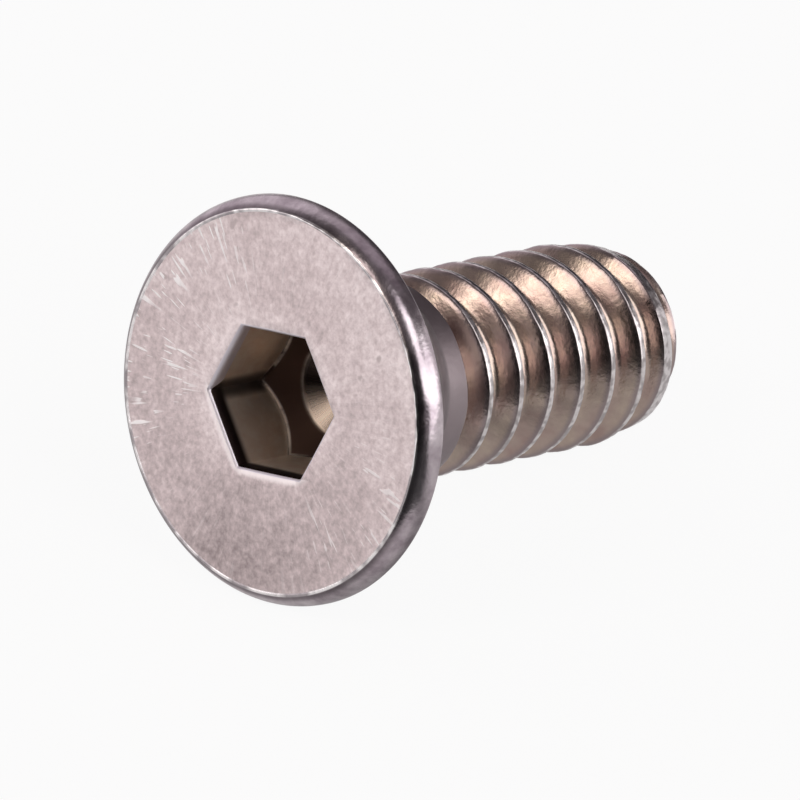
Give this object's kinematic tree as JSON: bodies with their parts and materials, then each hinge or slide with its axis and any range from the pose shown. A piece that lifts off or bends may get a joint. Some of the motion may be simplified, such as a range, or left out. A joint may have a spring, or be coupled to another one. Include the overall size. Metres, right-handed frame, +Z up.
{
  "type": "countersunk hex socket screw",
  "caption": "Small fully threaded countersunk screw with a flat head, a rounded rim and a hexagon socket, in plain stainless steel, lying on its side",
  "frame": {"origin": "middle of the bounding box, on the ground that the lying screw rests on", "axes": "+X runs along the ground from the head towards the tip, +Z is up, and +Y is to the left of +X. The screw's own axis lies in the XZ plane and slopes 13 degrees down towards the tip, because the rim of the head is wider than the thread."},
  "size_m": [0.0134, 0.0094, 0.0092],
  "materials": {
    "steel": "plain stainless steel, satin on the turned head and bright on the rolled thread"
  },
  "bodies": {
    "root": {"socket_screw": "steel"}
  },
  "joints": []
}
